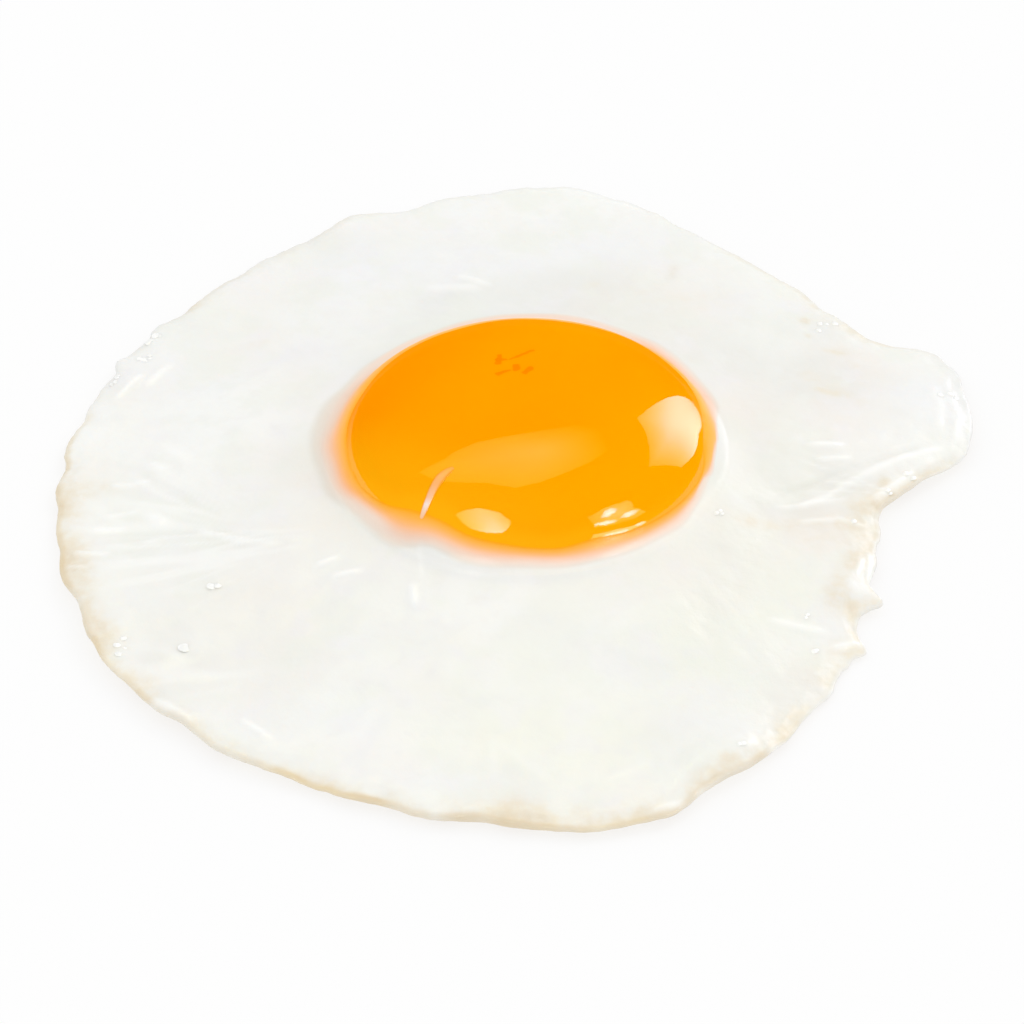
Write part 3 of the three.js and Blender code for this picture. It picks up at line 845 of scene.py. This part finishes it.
def white_finish():
    f = Finish("egg_white")
    body = f.mix(f.mask("cool"), PLAIN, COOLER)
    body = f.mix(f.mask("warm"), body, WARMER)
    body = f.mix(f.math("MULTIPLY", f.mask("rosy"), 0.7), body, ROSIER)
    # painted shade where the shading mask is high, and painted light where it is low
    body = f.mix(f.span(f.mask("painted_shading"), 0.5, 1.0, 0.0, 0.5), body, PAINTED_SHADE)
    body = f.mix(f.span(f.mask("painted_shading"), 0.5, 0.0, 0.0, 0.7), body, PAINTED_LIGHT)
    body = f.mix(f.math("MULTIPLY", f.span(f.noise(6), 0.5, 0.68), 0.4), body, LILAC)
    body = f.mix(f.math("MULTIPLY", f.span(f.noise(9, 4.0), 0.48, 0.62), 0.45), body, OLIVE)
    body = f.mix(f.math("MULTIPLY", f.span(f.noise(2.5, 4.0), 0.5, 0.7), 0.35), body, SPECKLE)
    grain = f.span(f.noise(1.2, 4.0), 0.3, 0.7, 0.7, 1.2)
    toast = f.math("MULTIPLY", f.mask("toast"), grain)
    body = f.mix(f.span(toast, 0.0, 0.6), body, TAN)
    body = f.mix(f.span(toast, 0.45, 1.1), body, BROWN)
    body = f.mix(f.span(f.mask("line"), 0.1, 1.0), body, EDGE)
    body = f.mix(f.mask("clear"), body, CLEAR)
    glow = f.ramp(f.mask("halo"), *GLOW)
    # painted shade: the halo's outer part turned greyer on its left
    painted_halo_shade = f.math("MULTIPLY", f.span(f.mask("halo"), 0.35, 0.7), f.mask("left"))
    glow = f.mix(painted_halo_shade, glow, PAINTED_HALO_SHADE)
    body = f.mix(f.span(f.mask("halo"), 0.8, 1.0), glow, body)
    # a painted highlight along the ridges and streaks
    body = f.mix(f.math("MULTIPLY", f.mask("crest"), 0.8), body, PAINTED_CREST_HIGHLIGHT)
    crust = f.mix(f.span(f.noise(5, 5.0), 0.35, 0.65), PALE_CRUST, CRUST)
    body = f.mix(f.mask("below"), body, crust)
    relief = f.node("Bump", {"Strength": 0.2, "Distance": 0.0002, "Height": f.noise(0.8, 4.0)})
    gloss = f.math("MULTIPLY_ADD", f.mask("crest"), 0.4, f.span(f.mask("dull"), 0, 1, 0.2, 0.02))
    # painted light: the film glows where it comes out of the yolk and, where lit marks it, on its near side,
    # lifting the shade there
    through = f.span(f.mask("halo"), 0.0, 0.6, 0.12, 0.0)
    return f.finish(
        Base_Color=body,
        Roughness=f.span(f.noise(2.5), 0.3, 0.7, 0.3, 0.45),
        IOR=1.38,
        Specular_IOR_Level=0.06,
        Subsurface_Weight=0.35,
        Subsurface_Radius=(1.0, 0.9, 0.8),
        Subsurface_Scale=0.001,
        Coat_Weight=f.gloss(gloss),
        Coat_Roughness=0.08,
        Coat_IOR=1.36,
        # the colour and strength of a painted glow of light, not a lamp
        Emission_Color=f.mix(f.span(f.mask("halo"), 0.5, 0.9), glow, PAINTED_GLOW),
        Emission_Strength=f.math("MAXIMUM", through, f.math("MULTIPLY", f.mask("lit"), 0.11)),
        Normal=relief.outputs[0],
    )


def bubble_finish():
    f = Finish("egg_white_bubbles")
    # the bubbles are paler than the white round them, and brightened further as a painted glint
    body = f.mix(f.span(f.noise(1), 0.4, 0.6), (0.89, 0.895, 0.875), (0.97, 0.97, 0.955))
    return f.finish(Base_Color=body, Roughness=0.3, IOR=1.38, Specular_IOR_Level=0.2,
                    Coat_Weight=f.gloss(0.6), Coat_Roughness=0.05, Coat_IOR=1.36)


def strand_finish():
    f = Finish("egg_white_strand")
    # the pale stop at 0.7 is a painted highlight on the strand; the other stops are its own colour, orange
    # where the yolk shows through
    body = f.ramp(
        f.mask("along"),
        (0.0, (1.0, 0.36, 0.01)), (0.2, (0.98, 0.42, 0.08)), (0.4, (0.97, 0.45, 0.15)),
        (0.6, (0.96, 0.55, 0.33)), (0.7, (0.96, 0.8, 0.72)), (0.8, (0.96, 0.66, 0.46)),
        (1.0, (0.97, 0.46, 0.15)),
    )
    body = f.mix(f.math("MULTIPLY", f.noise(1.0), 0.15), body, (0.98, 0.6, 0.4))
    body = f.mix(f.span(f.mask("across"), 0.15, 0.85), body, (1.0, 0.37, 0.01))
    return f.finish(Base_Color=body, Roughness=0.25, IOR=1.38, Specular_IOR_Level=0.2,
                    Coat_Weight=f.gloss(0.8), Coat_Roughness=0.05, Coat_IOR=1.36)


# The yolk's blemish: orange marks that taper from one end to the other, as ends and half widths.
MARKS = [
    ((-3.3, 5.5), (-3.15, 7.1), 0.4, 0.2),
    ((-3.3, 6.2), (-2.3, 6.1), 0.4, 0.1),
    ((-1.95, 6.15), (0.55, 8.0), 0.1, 0.22),
    ((-1.3, 4.2), (-1.25, 4.85), 0.38, 0.34),
    ((-0.35, 3.4), (0.35, 4.3), 0.24, 0.37),
    ((-3.3, 3.3), (-1.95, 3.95), 0.3, 0.1),
]


def mark(f, place, start, end, first, last):
    """1 inside a tapered mark, 0 outside it."""
    start, end = (Vector((*p, 0)) * MM for p in (start, end))
    offset = f.vector("SUBTRACT", f.vector("MULTIPLY", place, (1, 1, 0)), tuple(start))
    run = end - start
    reach = f.vector("DOT_PRODUCT", offset, tuple(run))
    along = f.math("MULTIPLY", reach, 1 / run.length_squared, clamp=True)
    nearest = f.node("VectorMath", {0: tuple(run), "Scale": along}, operation="SCALE").outputs["Vector"]
    distance = f.vector("DISTANCE", offset, nearest)
    width = f.math("MULTIPLY_ADD", along, (last - first) * MM, first * MM)
    return f.math("SUBTRACT", 1, f.span(f.math("SUBTRACT", distance, width), -0.1 * MM, 0.15 * MM))


# How the yolk's orange changes across it, as painted shade and light: deeper towards its far edge and upper
# left, lighter towards its near side. A direction, where along it the change starts and ends, and a colour.
YOLK_SHADE_AND_LIGHT = [
    ((-0.87, 0.5, 0.0), 4, 24, (1.0, 0.27, 0.0)),
    ((-0.87, 0.5, 0.0), -4, -20, (1.0, 0.375, 0.0)),
    ((-0.2, 1.0, 0.0), 9, 21, (1.0, 0.285, 0.0)),
    ((-0.2, 1.0, 0.0), -7, -21, (1.0, 0.385, 0.0)),
    ((-0.55, -0.83, 0.0), 9, 19, (1.0, 0.4, 0.002)),
    ((0.75, 0.66, 0.0), 12, 21, (1.0, 0.29, 0.0)),
]


def wandering(f):
    """Places shifted a little at random, so that a mark's outline isn't straight."""
    wander = f.node("TexNoise", {"Vector": f.place(), "Scale": 1500.0, "Detail": 1.0}).outputs["Color"]
    shift = f.vector("ADD", wander, (-0.5, -0.5, -0.5))
    return f.vector("MULTIPLY_ADD", shift, (0.4 * MM,) * 3, f.place())


def yolk_finish():
    f = Finish("egg_yolk")
    body = f.mix(f.span(f.noise(14), 0.35, 0.65), (1.0, 0.335, 0.0), (1.0, 0.345, 0.0))
    for heading, first, last, tone in YOLK_SHADE_AND_LIGHT:
        along = f.vector("DOT_PRODUCT", f.place(), heading)
        body = f.mix(f.span(along, first * MM, last * MM), body, tone)
    place = wandering(f)
    for row in MARKS:
        body = f.mix(f.math("MULTIPLY", mark(f, place, *row), 0.9), body, (0.96, 0.225, 0.0))
    return f.finish(
        Base_Color=body,
        Roughness=0.3,
        IOR=1.38,
        Specular_IOR_Level=0.0,
        Subsurface_Weight=0.15,
        Subsurface_Radius=(1.0, 0.4, 0.1),
        Subsurface_Scale=0.001,
        # painted light: the yolk glows on its near side round the film's end, lifting the shade at its lower
        # edge
        Emission_Color=(1.0, 0.42, 0.02, 1.0),
        Emission_Strength=f.span(f.mask("film"), 0.0, 1.0, 0.0, 0.12),
        Coat_Weight=f.gloss(1.0),
        Coat_Roughness=0.02,
        Coat_IOR=1.38,
    )


def direction(azimuth, elevation):
    """The way to a thing that stands at an azimuth and elevation, seen from the egg."""
    return Vector((math.cos(math.radians(azimuth)) * math.cos(math.radians(elevation)),
                   math.sin(math.radians(azimuth)) * math.cos(math.radians(elevation)),
                   math.sin(math.radians(elevation))))


FLOOR_REACH, FLOOR_LEVEL, FLOOR_GLOW = 1.5, -5e-5, 0.77
ROOM_LIGHT, SUN_LIGHT, SUN_SOFTNESS = 1.03, 0.35, 30
SUN_AZIMUTH, SUN_ELEVATION = 40, 42


def make_floor():
    """A pale table lit a little from within, so that the shadow on it stays faint."""
    reach, z = FLOOR_REACH, FLOOR_LEVEL
    mesh = bpy.data.meshes.new("floor")
    corners = [(-reach, -reach, z), (reach, -reach, z), (reach, reach, z), (-reach, reach, z)]
    mesh.from_pydata(corners, [], [(0, 1, 2, 3)])
    floor = bpy.data.objects.new("floor", mesh)
    bpy.context.scene.collection.objects.link(floor)
    f = Finish("floor")
    mesh.materials.append(f.finish(Base_Color=(0.2, 0.2, 0.2, 1), Roughness=0.9, Specular_IOR_Level=0.0,
                                   Emission_Color=(1, 1, 1, 1), Emission_Strength=FLOOR_GLOW))


def make_light():
    scene = bpy.context.scene
    scene.world = bpy.data.worlds.new("room")
    scene.world.use_nodes = True
    background = scene.world.node_tree.nodes["Background"]
    background.inputs[0].default_value = (1, 1, 1, 1)
    background.inputs[1].default_value = ROOM_LIGHT
    scene.world.cycles_visibility.glossy = False
    key = bpy.data.lights.new("key", "SUN")
    key.energy, key.angle = SUN_LIGHT, math.radians(SUN_SOFTNESS)
    lamp = bpy.data.objects.new("key", key)
    lamp.rotation_euler = direction(SUN_AZIMUTH, SUN_ELEVATION).to_track_quat("Z", "Y").to_euler()
    lamp.visible_glossy = False
    scene.collection.objects.link(lamp)


# Pale cards that only show as reflections: how much bluer they turn as they brighten, how far off they are,
# and their reflection in the yolk, seen from above: corners as x, y and brightness, with the middle first.
# The corners were picked on the photo and turned into millimetres with a script. Most are just as it
# printed them.
CARDS = {
    "softbox": (0.16, 0.6, [
        (16.2, -2.8, 9.0), (12.15, -3.4, 2.4), (13.83, -0.8, 4.2), (15.51, 1.4, 6.3),
        (16.79, 2.64, 8.0), (17.82, 3.14, 8.5), (18.72, 2.55, 8.2), (19.47, 1.0, 9.0),
        (19.47, -0.84, 9.8), (19.08, -2.55, 9.8), (18.86, -4.55, 9.2), (18.48, -5.95, 7.5),
        (17.02, -8.62, 3.4), (13.3, -10.25, 1.9), (13.11, -5.53, 2.6),
    ]),
    "ceiling": (0.085, 0.6, [
        (1.5, -9.8, 4.2), (-11.97, -11.44, 1.5), (-9.11, -10.33, 1.9), (-8.35, -9.62, 2.0),
        (-5.71, -8.43, 2.1), (-1.74, -7.54, 1.9), (2.24, -6.58, 1.2), (5.23, -5.66, 0.5),
        (7.88, -6.07, 0.3), (8.84, -9.1, 0.5), (6.83, -11.11, 1.5), (4.18, -12.8, 2.1),
        (1.54, -14.11, 2.3), (-1.41, -14.86, 2.2), (-4.37, -14.13, 2.1), (-9.64, -13.15, 1.8),
    ]),
    "lamp": (0.08, 0.6, [
        (-3.9, -18.5, 12.0), (-7.86, -17.06, 4.5), (-6.77, -16.83, 6.5), (-5.24, -16.88, 8.5),
        (-3.13, -17.51, 7.0), (-1.85, -18.46, 6.0), (-1.94, -18.91, 8.0), (-2.7, -19.34, 12.5),
        (-3.82, -19.3, 14.0), (-5.37, -18.93, 9.5), (-6.36, -18.56, 6.0), (-7.34, -17.79, 4.5),
    ]),
    "window": (0.08, 0.6, [
        (9.8, -16.5, 7.5), (6.46, -17.61, 3.0), (8.51, -16.25, 5.5), (10.87, -14.93, 4.5),
        (11.27, -14.88, 4.5), (11.59, -15.39, 4.5), (12.93, -15.23, 3.5), (11.97, -16.09, 3.5),
        (10.08, -17.22, 2.0), (8.97, -17.72, 3.5), (7.32, -18.29, 3.5),
    ]),
    "sill": (0.08, 0.6, [
        (9.9, -18.0, 9.0), (6.31, -19.54, 4.0), (7.09, -18.85, 7.0), (9.74, -17.73, 9.0),
        (11.96, -16.58, 8.0), (12.85, -15.92, 6.0), (13.08, -16.05, 6.0), (11.34, -17.3, 6.0),
        (8.98, -18.54, 7.0),
    ]),
    "pane_left": (0.08, 0.58, [
        (8.9, -16.7, 28), (7.93, -17.36, 10), (8.32, -16.68, 15), (9.2, -16.13, 14),
        (9.86, -16.06, 9), (9.53, -16.52, 15), (8.65, -17.15, 18),
    ]),
    "pane_low": (0.08, 0.58, [
        (8.5, -17.65, 24), (7.15, -18.2, 12), (7.44, -17.92, 12), (8.65, -17.42, 16),
        (9.82, -16.99, 8), (9.65, -17.28, 10), (8.43, -17.84, 20),
    ]),
    "pane_right": (0.08, 0.58, [
        (11.1, -16.1, 24), (10.0, -16.85, 10), (10.55, -16.26, 15), (11.44, -15.69, 12),
        (12.22, -15.34, 9), (11.77, -15.85, 13), (10.88, -16.5, 18),
    ]),
    "sill_left": (0.08, 0.58, [
        (9.4, -18.1, 24), (7.87, -18.83, 12), (8.53, -18.42, 16), (9.86, -17.84, 18),
        (10.96, -17.25, 16), (10.85, -17.44, 16), (9.64, -18.13, 22),
    ]),
    "sill_right": (0.08, 0.58, [
        (12.2, -16.4, 17), (11.53, -16.83, 12), (12.31, -16.26, 12), (12.81, -15.94, 9),
        (12.87, -16.09, 12), (12.2, -16.6, 14),
    ]),
}


def mirrored(x, y, distance):
    """The point that the camera sees reflected in the yolk at x and y, at a distance."""
    step_size = 0.01
    z, across, ahead = (float(yolk_height(*p)) for p in ((x, y), (x + step_size, y), (x, y + step_size)))
    normal = Vector((z - across, z - ahead, step_size)).normalized()
    point = Vector((x, y, z)) * MM
    view = (point - bpy.context.scene.camera.location).normalized()
    return point + view.reflect(normal) * distance


def make_cards():
    for name, (blueness, distance, spots) in CARDS.items():
        mesh = bpy.data.meshes.new(name)
        count = len(spots)
        faces = [(0, k, k + 1 if k + 1 < count else 1) for k in range(1, count)]
        mesh.from_pydata([mirrored(x, y, distance) for x, y, _ in spots], [], faces)
        mesh.attributes.new("glow", "FLOAT", "POINT").data.foreach_set("value", [spot[2] for spot in spots])
        card = bpy.data.objects.new("card_" + name, mesh)
        bpy.context.scene.collection.objects.link(card)
        f = Finish("card_" + name)
        glow = f.mask("glow")
        blue = f.math("MINIMUM", f.math("MULTIPLY", glow, blueness), 1.1)
        tone = f.node("CombineColor", {"Red": 1.0, "Green": 0.95, "Blue": blue}).outputs[0]
        lit = f.node("Emission", {"Color": tone, "Strength": glow})
        f.node("OutputMaterial", {"Surface": lit.outputs[0]})
        mesh.materials.append(f.material)
        card.visible_camera = card.visible_diffuse = card.visible_shadow = card.visible_transmission = False


# The camera's tilt and distance are choices that fit the photo, and can't be measured on it.
CAMERA_TILT, CAMERA_DISTANCE, CAMERA_AIM = 39, 0.55, (-1.74, -3.51, 0)
SENSOR, LENS = 36, 171.37


def make_camera():
    """Looks down on the egg from the near side."""
    elevation, distance, aim = math.radians(CAMERA_TILT), CAMERA_DISTANCE, Vector(CAMERA_AIM) * MM
    back = Vector((0, -math.cos(elevation), math.sin(elevation)))
    camera = bpy.data.objects.new("camera", bpy.data.cameras.new("camera"))
    camera.data.sensor_width, camera.data.lens = SENSOR, LENS
    camera.location = aim + back * distance
    camera.rotation_euler = back.to_track_quat("Z", "Y").to_euler()
    bpy.context.scene.collection.objects.link(camera)
    bpy.context.scene.camera = camera


def dress(piece, slot, material, *nodes):
    piece.data.materials.append(material)
    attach(piece, "root")
    if nodes:
        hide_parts(*nodes)


make_camera()
make_light()
make_cards()
make_floor()
dress(make_white(), "egg_white", white_finish(), "egg_white")
dress(make_yolk(), "egg_yolk", yolk_finish(), "egg_yolk")
dress(make_bubbles(), "egg_white", bubble_finish())
dress(make_strand(), "egg_white", strand_finish())
bpy.context.scene.view_settings.view_transform = "Standard"
